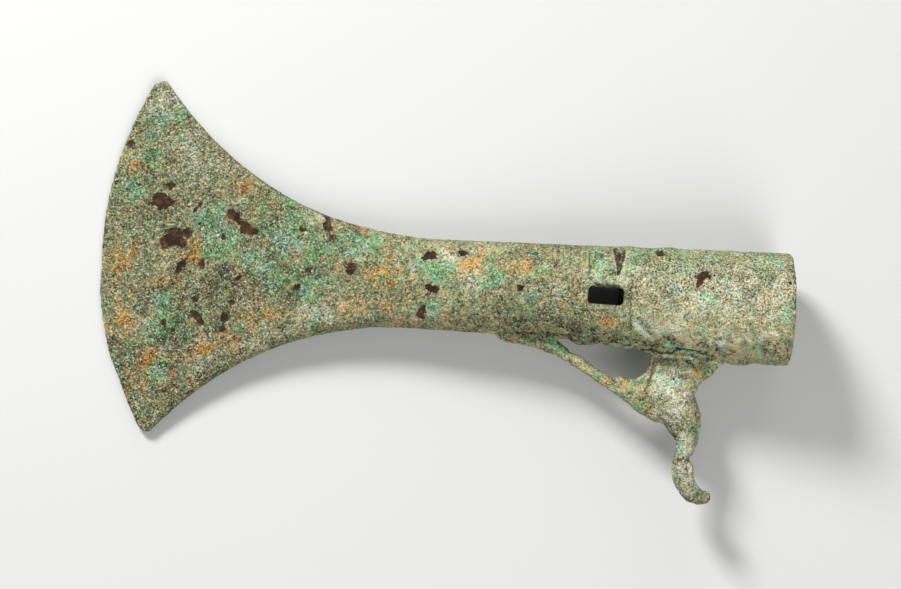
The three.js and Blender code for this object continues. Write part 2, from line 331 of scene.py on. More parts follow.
# %% Crust lumps
LUMPS = [
    (145.4, -15.9, 0.5, 2.7, 1.2, 1.6, -14), (154.6, -15.2, 2.2, 3.4, 0.9, 1.6, -4),
    (158.5, -15, -1.5, 2.2, 0.8, 2, 6), (164.2, -14.9, 1.8, 3, 0.8, 1.8, -3),
    (170, -15.3, 2.6, 2.8, 0.8, 1.6, -4), (174.8, -16, 3.4, 2.2, 1, 1.4, -14),
    (180.5, -16.9, 4.6, 4.2, 1.1, 1.5, -6), (188, -17.9, 4.9, 4.4, 1, 1.6, -4),
    (196.5, -18.6, 4.2, 4, 1.2, 2, 3), (174.4, -25.6, 0, 1.4, 1.4, 1.9, 30),
    (168.2, -26, 0.6, 2, 1, 1.7, -10), (191.8, -53.6, 1, 1.3, 3, 1.9, 4),
    (204, -18.2, 1.5, 4.5, 0.8, 2.6, -2), (180.5, 16.1, 1, 5.5, 0.9, 2.5, 1.5),
    (167.8, 15.8, 1, 2.5, 0.75, 2.2, 1.5),
]


def lump(x, y, z, half_x, half_y, half_z, turn, rings=10, around=20):
    """A squashed ball from pole to pole along x, turned in plan."""
    polar = np.linspace(0.05, np.pi - 0.05, rings)[:, None]
    angle = 2 * np.pi * np.arange(around)[None, :] / around
    across = np.sin(polar)
    ball = np.stack([-np.cos(polar) + 0 * angle, across * np.cos(angle), across * np.sin(angle)], axis=-1)
    ball = ball * (half_x, half_y, half_z)
    c, s = math.cos(math.radians(turn)), math.sin(math.radians(turn))
    return ball @ np.array([[c, s, 0], [-s, c, 0], [0, 0, 1]]) + (x, y, z)


shells = [lofted(rod(STRUT)), lofted(rod(LIMB, LEVEL_ABOVE))] + [lofted(lump(*sizes)) for sizes in LUMPS]
print("rods and lumps:", len(shells))

# %% [markdown]
# The peg slot goes through both walls. A Boolean modifier cuts it with a prism whose outline is a
# rounded rectangle, opened a little where it meets the outside, as a worn cast edge is.

# %% Peg slot
SLOT = {"x": (155.1, 166.4), "y": (-2.6, 2.8), "corner": 1.0}
SLOT_OPENS = [(12.6, 0), (14.2, 0.45), (22, 1.1)]


def slot_section(z, grow, steps=6):
    """A rounded rectangle at height z: quarter circles round the four corner centres, all grown."""
    (x0, x1), (y0, y1), r = SLOT["x"], SLOT["y"], SLOT["corner"]
    centres = np.array([(x1 - r, y0 + r), (x1 - r, y1 - r), (x0 + r, y1 - r), (x0 + r, y0 + r)])
    quarter = np.linspace(0, np.pi / 2, steps)
    angle = np.concatenate([quarter + turn for turn in (-np.pi / 2, 0, np.pi / 2, np.pi)])
    xy = np.repeat(centres, steps, axis=0) + (r + grow) * np.stack([np.cos(angle), np.sin(angle)], -1)
    return np.c_[xy, np.full(len(xy), z)]


levels = [(-z, grow) for z, grow in SLOT_OPENS[::-1]] + SLOT_OPENS
prism = np.stack([slot_section(z, grow) for z, grow in levels])
at, prism_faces = ring_walls(prism)
prism_faces += [at[0, ::-1].tolist(), at[-1].tolist()]
cutter = mesh_object("slot_cutter", prism.reshape(-1, 3), prism_faces)
cut = body.modifiers.new("peg slot", "BOOLEAN")
cut.operation, cut.object, cut.solver = "DIFFERENCE", cutter, "EXACT"
print("slot cutter:", len(prism_faces), "faces")

# %% [markdown]
# Now the forms become one casting. Joined meshes still pass through each other, so a voxel Remesh
# wraps the whole heap in one even skin. Its quads are about two thirds of a millimetre wide, which is
# fine enough for crust and pits to be real shape, and keeps the piece under 200,000 triangles.

# %% One skin
VOXEL = 0.655


def evaluated(made):
    """Points in millimetres and faces of an object with its modifiers applied; the object goes."""
    applied = bpy.data.meshes.new_from_object(made.evaluated_get(bpy.context.evaluated_depsgraph_get()))
    points = np.empty(3 * len(applied.vertices), np.float32)
    applied.vertices.foreach_get("co", points)
    faces = [list(face.vertices) for face in applied.polygons]
    bpy.data.objects.remove(made)
    return points.reshape(-1, 3).astype(float) / MM, faces


shells.insert(0, evaluated(body))
bpy.data.objects.remove(cutter)
offsets = np.cumsum([0] + [len(points) for points, _ in shells[:-1]])
heap_faces = []
for (_, faces), offset in zip(shells, offsets):
    heap_faces += [[i + offset for i in face] for face in faces]
heap = mesh_object("heap", np.vstack([points for points, _ in shells]), heap_faces)
wrap = heap.modifiers.new("one skin", "REMESH")
wrap.mode, wrap.voxel_size = "VOXEL", VOXEL * MM
skin, skin_faces = evaluated(heap)
print("skin:", len(skin), "points,", len(skin_faces), "faces")

# %% [markdown]
# Corrosion has no one size: it has broad swellings, crust, and grains, each a few times finer than
# the last. Gradient noise gives one such size. Every corner of a lattice gets a random slope, worked
# out from its place by mixing the bits of three whole numbers, and a point blends the slopes of the
# eight corners round it. Sums of such noise, each half the size and strength of the last, make a
# fractal. The same numbers come out on every run.

# %% Gradient noise


def corner_slopes(cell, seed):
    """Random slopes from lattice places: multiply, mix and multiply again in 32 bits."""
    mixed = cell.astype(np.uint32) @ np.array([73856093, 19349663, 83492791], np.uint32) + np.uint32(seed)
    mixed = (mixed ^ (mixed >> 13)) * np.uint32(1274126177)
    mixed = (mixed ^ (mixed >> 16)) * np.uint32(2246822519)
    bits = np.stack([(mixed >> shift) & np.uint32(1023) for shift in (0, 10, 20)], axis=-1)
    return bits / 511.5 - 1


def noise(points, size, seed=0):
    """Gradient noise, about -1 to 1, with features of the given size in millimetres."""
    p = points / size + 500.0
    cell = np.floor(p).astype(np.int64)
    inside_cell = p - cell
    blend = inside_cell**3 * (inside_cell * (inside_cell * 6 - 15) + 10)
    total = np.zeros(len(points))
    for corner in np.ndindex(2, 2, 2):
        weight = np.prod(np.where(corner, blend, 1 - blend), axis=1)
        total += weight * np.sum(corner_slopes(cell + corner, seed) * (inside_cell - corner), axis=1)
    return 1.6 * total


def fractal(points, size, octaves, seed=0):
    """Noise plus half of it at half the size, and so on."""
    return sum(noise(points, size / 2**i, seed + 17 * i) / 2**i for i in range(octaves))


x, y, z = skin.T
print("crust noise spread:", round(float(fractal(skin, 5, 3, 1).std()), 2))

# %% [markdown]
# Where the thick crust has flaked off, the dark red-brown metal oxide below shows: crisp-edged spots,
# most of them on the blade. The large ones are listed one by one, each an oval with a middle, a length,
# a width and a turn. A field that is 1 in the middle of a spot and 0 at its rim, shaken by noise, gives
# ragged outlines. The underside has its own spots, where a broad noise peaks.
#
# The places were read from a photograph taken 0.8 m away. From there, what lies high on the socket
# looks a little further out than it is, so each point is first moved to where it would be seen.
#
# Two more tests come with the spots. A point is on top where it lies above the mid plane, and in the
# bore where it lies well within the outside of the socket.

# %% Bare spots
DISTANCE = 0.8
LOOK_AT = np.array([112.0, -2.9, 0.0])


def seen(points):
    """Where a camera at that distance over the point it looks at sees the points, on the mid plane."""
    away = DISTANCE / MM
    return LOOK_AT + (points - LOOK_AT) * (away / (away - points[:, 2:]))


SPOTS = [
    (7, 38, 3.8, 2.6, 20), (17.5, 20.5, 6.4, 4.6, -10), (20.8, 25.4, 3.2, 2.4, 0),
    (29.6, 19, 1.8, 4, -30), (23.4, 8.6, 7.4, 6.6, 20), (27, 11.2, 5.4, 4.2, 30),
    (26.3, 1.5, 2.6, 4.6, -35), (32, 1.5, 1.6, 2.6, 0), (41.4, 17, 4, 3.8, -30),
    (45.8, 13.6, 5.4, 3.6, -25), (38.6, 10.4, 1.8, 1.6, 0), (44.5, -2, 2.6, 2.6, 0),
    (32.6, -16.2, 5, 1.9, -48), (40.8, -15.2, 3.4, 2.6, -30), (40, -19, 2.8, 2, 30),
    (42.6, -10.5, 1.6, 2.4, -30), (31, -10.2, 2.2, 2.2, 0), (21.4, -18.2, 2, 2.2, 0),
    (24.3, -20.3, 1.5, 1.4, 0), (63, -4, 2.2, 3, 0), (66.2, 1.7, 2, 1.6, 0), (71.4, 17, 2.8, 4.4, 10),
    (72.8, 12.4, 2.2, 2.4, 0), (63.4, 14.6, 2.6, 2, 20), (79.2, 3.2, 3.4, 4.2, -30),
    (104.6, 9, 5, 2.4, 40), (106.3, -1.5, 3.2, 2.2, -10), (102.6, -9.6, 4.2, 3, 50),
    (115.4, 10.8, 4, 2.6, -10), (133.8, 0.8, 2, 1.8, 0), (164.8, 13.2, 1.7, 4.4, 0),
    (178, 15, 2.8, 2, 0), (192.1, 8.8, 3.6, 3.8, 45), (190.9, 6.4, 1.6, 3.2, -30),
    (220, 8.2, 1.6, 1.8, 0), (221.6, 13.2, 1.8, 6, 12), (185, -24.8, 0.8, 0.8, 0),
]


def ovals(points, places):
    """The largest over all ovals of one less the distance in half sizes."""
    field = np.full(len(points), -3.0)
    for mid_x, mid_y, length, width, turn in places:
        c, s = math.cos(math.radians(turn)), math.sin(math.radians(turn))
        dx, dy = points[:, 0] - mid_x, points[:, 1] - mid_y
        reach = np.hypot((c * dx + s * dy) * 2 / length, (c * dy - s * dx) * 2 / width)
        field = np.maximum(field, 1 - reach)
    return field


TOP_FADE = 1.2
WELL_WITHIN = 1.2
BORE_LOW = -16.0
SPOTS_RAGGED = 0.75
UNDER_SPOTS = {"size": 11, "rare": 0.62, "crisp": 2.2}
on_top = ease(z / TOP_FADE + 0.5)
room_y, room_z = half_width(x, UPPER) - WELL_WITHIN, half_thickness(x) - WELL_WITHIN
in_bore = (np.hypot(y / room_y, z / room_z) < 1) & (x > FLOOR_X - 3) & (y > BORE_LOW)
sight = seen(skin)
spots_above = ovals(sight, SPOTS) + SPOTS_RAGGED * fractal(sight, 3.4, 3, 5)
spots_below = UNDER_SPOTS["crisp"] * (fractal(skin, UNDER_SPOTS["size"], 3, 71) - UNDER_SPOTS["rare"])
bare = np.where(on_top > 0.5, spots_above, spots_below)
bare = np.where(in_bore, -1.0, bare)
print("bare share:", round(float((bare > 0).mean()), 3))

# %% [markdown]
# Grooves and small faults of the casting are lines: two narrow cuts that run from the socket's top
# side towards the slot, faint tool marks across the socket, a crease in the plate, a broken crack
# along the plate's root, and one raised streak. Each has two ends, a width and a depth. The depth
# fades with the square of the distance from the line, and below zero it is a height.

# %% Lines in the surface
GROOVES = [
    ((163.3, 14.9), (165.1, 7.7), 0.45, 0.75), ((166.2, 15.1), (165.4, 8), 0.4, 0.7),
    ((155.4, 15), (155.6, 6.5), 0.35, 0.2), ((145.2, 14.8), (145, 8.5), 0.35, 0.3),
    ((149.4, 14.8), (149.2, 9.5), 0.3, 0.25), ((152.6, 4.5), (151.8, -1.5), 0.5, 0.35),
    ((168.9, 15.5), (169.3, 2.5), 0.35, 0.2), ((169.3, 2.5), (170.2, -10.2), 0.45, 0.5),
    ((178.6, -19.5), (177.4, -26.3), 0.6, 0.45), ((177.4, -26.3), (175.7, -29.9), 0.6, 0.45),
    ((188.4, -18.8), (191.4, -20.4), 0.45, 0.7), ((176.4, -16), (180.2, -16.9), 0.4, 0.5),
    ((180.2, -16.9), (183.3, -16.6), 0.4, 0.5), ((183.3, -16.6), (185.5, -15.4), 0.4, 0.6),
    ((185.5, -15.4), (190.8, -15.4), 0.4, 0.5), ((190.8, -15.4), (197.4, -16.9), 0.4, 0.4),
    ((170.4, -7.6), (176.4, -12.3), 0.6, -0.4),
    ((172, -6.6), (177.6, -11.4), 0.35, 0.45), ((180.5, -32.5), (186.8, -39.5), 1, 0.35),
    ((204, 9), (213, -7), 0.6, 0.15),
]


def line_depths(points):
    """Sum over the grooves of depth times exp of minus the squared distance in widths, from above."""
    plan = points[:, :2]
    total = np.zeros(len(points))
    for start, end, width, depth in GROOVES:
        start, run = np.array(start), np.subtract(end, start)
        share = np.clip((plan - start) @ run / (run @ run), 0, 1)
        away = np.linalg.norm(plan - start - share[:, None] * run, axis=1)
        total += depth * np.exp(-((away / width) ** 2))
    return total


lines = line_depths(sight) * on_top * ~in_bore
print("deepest groove, highest streak in mm:", round(float(lines.max()), 2), round(float(-lines.min()), 2))

# %% [markdown]
# All the relief is one number for each point of the skin: how far it moves along its normal. Crust is
# thick on the socket's lower side and on the strut and leg, thin on the blade, and everything is held
# back where the blade is only a millimetre thick. The socket's lower side also has ripples along it.
# Pits are where a fine noise dips lowest. Bare spots lie a quarter of a millimetre below the crust.

# %% Relief
LIMB_FROM = (126.0, -15.2)
limb = ease((LIMB_FROM[1] - y) / 2.5) * ease((x - LIMB_FROM[0]) / 4)
underside = ease((x - 140) / 12) * ease((-y - 11.5) / 3) * (1 - limb)
belly = ease((x - 120) / 30) * ease((-y - 6) / 5) * (1 - limb)
thin = np.clip(half_thickness(x) / 2.4, 0.35, 1)
rough = (0.9 + 0.35 * ease((x - 60) / 80) + 1.8 * underside + 1.2 * limb) * thin
swell = 0.16 * noise(skin, 24, 3) * thin
crust = 0.15 * fractal(skin, 6.5, 3, 9)
ripples = 0.38 * belly * fractal(skin * (0.35, 1, 1), 2.4, 2, 77)
grain = 0.085 * noise(skin, 1.7, 21) + 0.05 * noise(skin, 1.15, 33)
pit_noise = noise(skin, 2.1, 41) + 0.4 * noise(skin, 5, 43)
pits = -0.26 * ease((-0.52 - pit_noise) / 0.28)
flaked = -0.24 * ease(bare / 0.22 + 0.5) * thin
relief = swell + rough * (crust + grain + pits) + ripples + flaked - lines
relief = np.where(in_bore, 0.6 * crust, relief)
print("relief in mm:", [round(float(v), 2) for v in (relief.min(), relief.std(), relief.max())])

# %% [markdown]
# The points move along the normals of the smooth skin. Then the axe is laid down: turned about Y until
# the cutting edge and the socket's underside are level, and shifted so that its box stands centred
# over the origin. No crust may stand more than a third of a millimetre past the casting's own box.
# What would sink below the table is pressed flat, which gives the small flat spot that keeps the
# socket from rolling.

# %% Move the points and lay the axe down
smooth = mesh_object("axe_head_surface", skin, skin_faces)
normals = np.empty(3 * len(skin), np.float32)
smooth.data.vertex_normals.foreach_get("vector", normals)
normals = normals.reshape(-1, 3)
moved = skin + normals * relief[:, None]

FLAT_DEPTH = 0.2
PAST_BOX = 0.35
edge_under = float(half_thickness(EDGE_ROUND))
tilt = math.atan2(MOUTH_RADIUS - FLAT_DEPTH - edge_under, LENGTH - EDGE_ROUND)


def laid(points):
    """Turn about Y by the tilt, so that the mouth rises and the underside comes level."""
    c, s = math.cos(tilt), math.sin(tilt)
    return points @ np.array([[c, 0, s], [0, 1, 0], [-s, 0, c]])


smooth_forms = (outside, rim, rod(LIMB, LEVEL_ABOVE))
smooth_box = laid(np.concatenate([rings.reshape(-1, 3) for rings in smooth_forms]))
centre = (smooth_box.min(0) + smooth_box.max(0)) / 2
table_level = laid(np.array([EDGE_ROUND, 0, -edge_under]))[2]
shift = -np.array([centre[0], centre[1], table_level])
lying = laid(moved) + shift
low, high = (np.array(corner) / MM for corner in (cad_low, cad_high))
lying = np.clip(lying, low - PAST_BOX, high + PAST_BOX)
lying[:, 2] = np.maximum(lying[:, 2], 0)
smooth.data.vertices.foreach_set("co", (lying * MM).ravel())
smooth.data.update()
print("shift in mm:", shift.round(3), "box:", lying.min(0).round(2), lying.max(0).round(2))

# %% [markdown]
# The colours need to know where they are too. Each kind of corrosion gets a soft field over the skin,
# stored as a point attribute: how green, ochre, pale or teal a place is, and how dark with grime and
# painted shade. The top follows the object, with ovals for its larger fields of colour, each a middle,
# a length, a width and a turn. The underside is left to broad noise, in the same colours.
#
# Five more fields aren't colours. They say where the top is, how high the relief stands, how much
# lighter a stretch is than the rest (tone, which across the socket is painted light on its lower side
# and painted shade on its top), how fine and even its grains are (calm) and how much greyer they are
# (cool).

# %% Fields of colour
GREEN = [
    (35, 15, 14, 14, 20), (60, 12, 24, 16, 0), (55, -4, 12, 10, 0), (65, -3, 12, 14, 0),
    (23, -11, 9, 6, 0), (23, -20, 18, 12, 10), (21, -34, 8, 8, 40), (10, 25, 8, 12, 0),
    (15, 46, 8, 12, -30), (82, 11, 18, 10, -10), (107, 4, 11, 10, -10), (105, -7, 8, 5, 0),
    (125, 4, 10, 8, 0), (159, 9, 9, 10, 0), (169, 12, 8, 8, 0), (182, 14, 12, 7, 0), (194, 2, 12, 6, 0),
    (219, -0.3, 5, 9, 0), (181, 9, 16, 9, -10), (190, -46.5, 6, 6, 0), (146, -16.5, 6, 3, -15),
    (38, 8, 14, 10, 30), (50, 4, 16, 8, 0), (12, 33, 8, 6, 0), (208, 14, 12, 6, 0),
    (189.5, -20.3, 3.2, 2.8, 0), (195.8, -21.3, 5, 5, 0),
]
OCHRE = [
    (9, 31, 9, 7, 0), (8, -18, 14, 18, 0), (20, -35, 22, 20, -30), (48, -17, 10, 14, 20),
    (56, -12, 14, 8, 10), (18, -4, 14, 8, 0), (44, 27, 14, 8, -40), (82, -8, 14, 10, 0),
    (92, 2, 14, 18, 0), (118, 8, 14, 10, 0), (131, 8, 14, 10, 0), (160, -8, 12, 5, 0), (30, 4, 16, 8, 0),
    (128, -15, 8, 3, 0), (84, 15, 14, 5, -10), (172, -28, 9, 3.6, -30), (192, -22.5, 7, 7, 0),
    (7, 2, 10, 24, 0), (33, -26, 18, 8, 35), (46, -22.5, 12, 11, 20),
]
PALE = [
    (16, 52, 14, 18, 0), (28, 36, 22, 12, -50), (110, 9, 8, 6, 0), (119, 2, 10, 8, 0), (71, 19, 8, 5, 0),
    (190, 3, 70, 26, 0), (184, -27, 16, 20, 0), (173.4, -10, 9, 3, -38), (190, -52, 8, 24, 0),
    (145, 0, 12, 8, 0), (70, -12, 20, 8, 0), (35, -31, 14, 6, 40), (216, 6, 8, 20, 0),
    (186, -33, 12, 14, 0),
]
# Grime with painted shade: some ovals are dark crust, on the blade and under the plate, and some are painted
# shade, in the bands inside the mouth's rim, on the slot's upper wall and along the haunch and shank. On the
# socket's lower side the darkening is partly crust and partly painted shade.
GRIME_AND_SHADE = [
    (140, -10, 56, 12, 0), (112, -13, 36, 5, 0), (160, 2, 50, 6, 0), (25, -22, 18, 10, 0),
    (99, -2, 16, 8, 0), (42, -4, 22, 14, 0), (60, 2, 18, 12, 0), (30, -8, 20, 14, 0),
    (150, -14, 30, 5, 0), (196, -21.3, 6, 6, 0), (221, 12.5, 5, 14, 0), (221, -13, 5, 14, 0),
    (161.2, 3.9, 9, 2.6, 0), (184, -39.5, 4, 9, 40), (191.5, -40.5, 4, 7, 0), (189, -50.4, 6, 1.8, 0),
]
TEAL = [
    (189.6, -20.6, 2.4, 1.8, 0), (194, 1.7, 5, 4.4, 0), (202.9, 0.4, 2.6, 2.2, 0),
    (219.4, 0.3, 2.6, 6.6, 0), (216, 14.1, 6, 4, 0), (193.1, 14.7, 4, 2.6, 0),
    (159.7, 9, 5.5, 6, 0), (139.2, 1.4, 2.6, 3, 0), (147.5, 1.6, 2, 4, 0),
    (137.7, 11.2, 3.4, 2, 0), (128.4, 7.3, 2, 1.6, 0), (128.1, 2.8, 2, 3, 0),
    (179.6, -23.9, 2, 5, 10), (182.9, -26.9, 4, 3.4, 0), (187.1, -25.6, 3, 2.6, 0),
    (189.4, -46, 4.5, 6.5, 0), (185.7, -53.2, 2.6, 6, 0), (173.6, -9.6, 8.4, 1.7, -45),
    (179.6, -9.8, 4.2, 3.4, 0), (172.4, -0.5, 5, 2, 60), (36, 15, 7, 5, 30), (52, 2, 5, 7, 0),
    (62, 9, 6, 5, 0), (24, -26, 5, 4, 0), (78, 8, 5, 4, 0), (100, 6, 5, 4, 0), (21, -34, 6, 5, 30),
    (70, -11, 7, 4, 0), (182, 5, 8, 5, 0), (105, -9, 6, 3, 0),
]


SHAKE = 0.42
OVAL = {"rise": 0.55, "reach": 0.45, "most": 0.75}
UNDER = {"mean": 0.26, "swing": 0.30, "size": 26}


def colour_field(places, seed, size):
    """On top the ovals' falloff, elsewhere broad noise; both 0 to 1 and shaken by fractal noise."""
    shake = SHAKE * fractal(skin, size, 3, seed)
    above = np.clip(OVAL["rise"] * (ovals(sight, places) + OVAL["reach"]), 0, OVAL["most"])
    below = UNDER["mean"] + UNDER["swing"] * noise(skin, UNDER["size"], seed + 5)
    return np.clip(np.where(on_top > 0.5, above, below) + shake, 0, 1)


def between(places, table):
    """A table of places and numbers, read in straight lines from place to place."""
    return np.interp(places, list(table), list(table.values()))


fields = {
    "top": on_top,
    "bare": bare,
    "green": colour_field(GREEN, 101, 9),
    "ochre": colour_field(OCHRE, 202, 7),
    "pale": colour_field(PALE, 303, 10),
    "grime_and_shade": colour_field(GRIME_AND_SHADE, 404, 8),
    "teal": colour_field(TEAL, 505, 5),
    "height": np.clip((relief - swell) / 0.25, -1, 1),
}
# Steep sides turn a little more ochre and, through the grime field, darker: partly grime and partly painted
# shade on the sides. The grime field is also raised in the bore and along the grooves, so these are darker.
slope = ease((0.72 - np.abs(normals[:, 2])) / 0.4) * ease((x - 14) / 10) * (y > BORE_LOW) * ~in_bore
fields["ochre"] = np.clip(fields["ochre"] + 0.1 * slope, 0, 1)
side_grime_and_shade = 0.5 * slope * (1 - 0.6 * ease((x - 165) / 10))
grime_and_shade = fields["grime_and_shade"] + 0.8 * in_bore + side_grime_and_shade + 0.8 * np.maximum(lines, 0)
fields["grime_and_shade"] = np.clip(grime_and_shade, 0, 1.4)
tone_and_light = between(x, {0: -0.2, 40: -0.2, 80: -0.1, 92: 0, 104: 0.2, 118: 0.2, 134: 0.02, 158: 0.05, 176: 0.08})
# Across the socket the tone is painted light and shade: the lower side is lightened and the top darkened,
# which evens out the shading from top to bottom.
tone_and_light -= ease((x - 160) / 16) * between(y, {-14: -0.35, -10: -0.5, -5: -0.2, 9: 0.24, 14: 0.1})
limb_tone = between(-y, {16: 0.28, 30: 0.3, 38: 0, 46: 0, 54: -0.08, 62: -0.16})
fields["tone_and_light"] = tone_and_light + (limb_tone - tone_and_light) * limb - 0.15 * ease((-18 - y) / 14) * (x < 60)
calm = between(x, {120: 0, 150: 0.15, 168: 0.4, 176: 1})
limb_calm = 0.5 + 0.3 * ease((x - 174) / 4) * ease((y + 40) / 6)
crusty = ease((x - 125) / 20) * ease((-y - 8) / 5) * (1 - limb)
fields["calm"] = (calm + (limb_calm - calm) * limb - (calm + 0.8) * crusty) * on_top
fields["cool"] = 0.06 * limb + 0.12 * (1 - limb) * ease((x - 168) / 6) * ease((-y - 6) / 6)
for name, values in fields.items():
    attribute = smooth.data.attributes.new(name, "FLOAT", "POINT")
    attribute.data.foreach_set("value", values.astype(np.float32))
smooth.data.shade_smooth()
print("fields:", {name: round(float(values.mean()), 2) for name, values in fields.items()})

# %% [markdown]
# Shader maths is easier to read as an expression than as a web of nodes. A small class wraps a
# socket, and its operators add the Math nodes. One helper makes any other node.

# %% Expressions for the shader


class Value:
    """A number in the shader. Sums, differences and products with it add Math nodes."""

    def __init__(self, tree, socket):
        self.tree, self.socket = tree, socket

    def math(self, operation, first, second):
        """The result of one Math node."""
        made = node(self.tree, "ShaderNodeMath", {"operation": operation}, {0: first, 1: second})
        return Value(self.tree, made.outputs[0])

    def __add__(self, other):
        return self.math("ADD", self, other)

    def __radd__(self, other):
        return self.math("ADD", other, self)

    def __sub__(self, other):
        return self.math("SUBTRACT", self, other)

    def __rsub__(self, other):
        return self.math("SUBTRACT", other, self)

    def __mul__(self, other):
        return self.math("MULTIPLY", self, other)

    def __rmul__(self, other):
        return self.math("MULTIPLY", other, self)

    def size(self):
        """The number without its sign."""
        return self.math("ABSOLUTE", self, 0)

    def above(self, level, softness):
        """0 below the level and 1 above it, over a soft step."""
        settings = {"interpolation_type": "SMOOTHSTEP"}
        values = {"Value": self, "From Min": level - softness, "From Max": level + softness}
        return Value(self.tree, node(self.tree, "ShaderNodeMapRange", settings, values).outputs[0])


def node(tree, kind, settings, values):
    """Any node: its settings first, then each socket's value, or the link to it."""
    made = tree.nodes.new(kind)
    for name, setting in settings.items():
        setattr(made, name, setting)
    for name, value in values.items():
        value = getattr(value, "socket", value)
        if isinstance(value, bpy.types.NodeSocket):
            tree.links.new(value, made.inputs[name])
        else:
            made.inputs[name].default_value = value
    return made


def paint(red, green, blue):
    """A colour given as 0 to 255 on screen, as the linear light that the shader wants."""
    share = np.array([red, green, blue]) / 255
    linear = np.where(share < 0.04045, share / 12.92, ((share + 0.055) / 1.055) ** 2.4)
    return (*(float(v) for v in linear), 1.0)


# %% [markdown]
# The patina has two scales. Its hue changes slowly, in soft blots a few millimetres wide. Its
# brightness changes quickly, from grain to grain, because pale crystals stand beside dark pits. So
# the hues are mixed by soft noise and the fields above, and a rougher noise then lightens or darkens
# whatever hue lies under it. Crisp edges are kept for the bare spots.

# %% The patina
patina = bpy.data.materials.new("patinated_bronze")
patina.use_nodes = True
tree = patina.node_tree
tree.nodes.clear()
place = node(tree, "ShaderNodeTexCoord", {}, {}).outputs["Object"]


def field(name):
    """A field stored on the skin, as a number in the shader."""
    return Value(tree, node(tree, "ShaderNodeAttribute", {"attribute_name": name}, {}).outputs["Fac"])


def speckle(size_mm, detail, seed, roughness=0.6):
    """Noise about 0 with features of that size. The seed moves it along the fourth dimension."""
    settings = {"noise_dimensions": "4D"}
    values = {"Vector": place, "W": seed, "Scale": 1000 / size_mm, "Detail": detail, "Roughness": roughness}
    return Value(tree, node(tree, "ShaderNodeTexNoise", settings, values).outputs["Fac"]) - 0.5


def mixed(factor, below, above):
    """A colour that goes from the one below to the one above as the factor goes from 0 to 1."""
    made = node(tree, "ShaderNodeMix", {"data_type": "RGBA"}, {0: factor, 6: below, 7: above})
    return made.outputs[2]


def lit(colour, strength):
    """A colour made lighter or darker by a number."""
    made = node(tree, "ShaderNodeVectorMath", {"operation": "SCALE"}, {0: colour, "Scale": strength})
    return made.outputs[0]


# %% [markdown]
# Most kinds of corrosion have two or three tones of their own. The tones are paint values read off
# the object. Last, a little noise shifts each grain towards red or yellow.

# %% Hues of the patina
olive = mixed(speckle(2.8, 1.2, 1.0).above(0, 0.2), paint(112, 125, 93), paint(160, 148, 102))
green = mixed(speckle(2.6, 1.2, 2.0).above(0, 0.2), paint(96, 134, 84), paint(132, 170, 122))
green = mixed(speckle(6.0, 1.2, 3.0).above(0.1, 0.12), green, paint(110, 156, 128))
ochre = mixed(speckle(2.4, 1.2, 4.0).above(0, 0.2), paint(144, 116, 70), paint(194, 158, 100))
ochre = mixed(field("ochre").above(0.62, 0.15), ochre, paint(186, 140, 68))
cream = paint(206, 205, 180)
soot = paint(54, 48, 34)
umber = mixed(speckle(2.0, 3, 5.0).above(0, 0.12), paint(38, 28, 20), paint(54, 36, 22))
oxide = mixed(speckle(3.4, 3, 6.0, 0.7).above(0.07, 0.12), umber, paint(100, 66, 40))

is_green = (1.3 * field("green") + 2.4 * speckle(2.8, 1.4, 7.0)).above(0.42, 0.35)
is_ochre = (1.4 * field("ochre") + 2.4 * speckle(2.4, 1.4, 8.0)).above(0.6, 0.3)
is_pale = (field("pale") + 2.4 * speckle(2.2, 2, 9.0)).above(0.6, 0.5)
calm = field("calm")
colour = mixed(is_ochre * (1 - 0.6 * calm), olive, ochre)
colour = mixed(is_green * (1 - 0.3 * calm), colour, green)
colour = mixed(0.6 * is_pale, colour, cream)
is_teal = (1.4 * field("teal") + 0.12 * calm + 2.4 * speckle(1.8, 2, 20.0)).above(0.62, 0.25)
colour = mixed(0.6 * is_teal, colour, paint(140, 176, 154))
colour = mixed(0.4 * calm * speckle(3.6, 2.5, 21.0).above(0.09, 0.08), colour, paint(188, 162, 122))
redder = speckle(1.3, 1, 22.0)
yellower = speckle(1.3, 1, 23.0)
shares = {0: 1 + 0.6 * redder, 1: 1 - 0.25 * redder, 2: 1 - 0.5 * yellower + field("cool")}
tint = node(tree, "ShaderNodeCombineXYZ", {}, shares).outputs[0]
colour = node(tree, "ShaderNodeVectorMath", {"operation": "MULTIPLY"}, {0: colour, 1: tint}).outputs[0]

# %% [markdown]
# The grit comes next. Two noises scale the brightness: one nearly as strong at a third of a
# millimetre as at three, and one of finer sand. Sparks of cream and pits of soot are laid over it, so
# that the brightest and darkest grains lose their hue, as they do on the object. Low places of the
# real relief are darker and high ones lighter, as painted shade and painted light.

# %% Grit and bare spots
grit = speckle(2.6, 4, 10.0, 0.9)
sand = speckle(0.55, 1.5, 17.0, 0.8)
level = 1.0 + 2.4 * grit * (1.14 - 0.5 * calm) + sand * (2.9 + 2.2 * calm)
# Painted light and shade join the brightness here: high relief lighter and low relief darker, the grime
# field's painted shade, and the tone's painted light and shade across the socket.
level = level + 0.25 * field("height") - 0.3 * field("grime_and_shade") + 0.12 * field("pale") + field("tone_and_light")
colour = lit(colour, level)
sparks = (speckle(0.8, 2, 11.0) + 0.4 * sand + 0.05 * field("pale")).above(0.11, 0.08)
# Soot pits gather a little more where the grime field is high and in low places of the relief, partly as
# painted shade.
hollows = 0.07 * field("grime_and_shade") - 0.06 * field("height") - speckle(0.9, 2, 12.0) - 0.4 * sand
pits_dark = hollows.above(0.11, 0.08)
colour = mixed(0.7 * sparks, colour, cream)
colour = mixed(pits_dark * (0.72 - 0.5 * calm), colour, soot)
specks = speckle(1.7, 2, 13.0).above(0.2, 0.02)
is_bare = (field("bare") + 2.0 * speckle(1.2, 3, 14.0)).above(0.0, 0.08)
colour = mixed(0.8 * specks, colour, oxide)
colour = mixed(is_bare, colour, lit(oxide, 1.0 + 2.0 * speckle(0.9, 3, 15.0)))
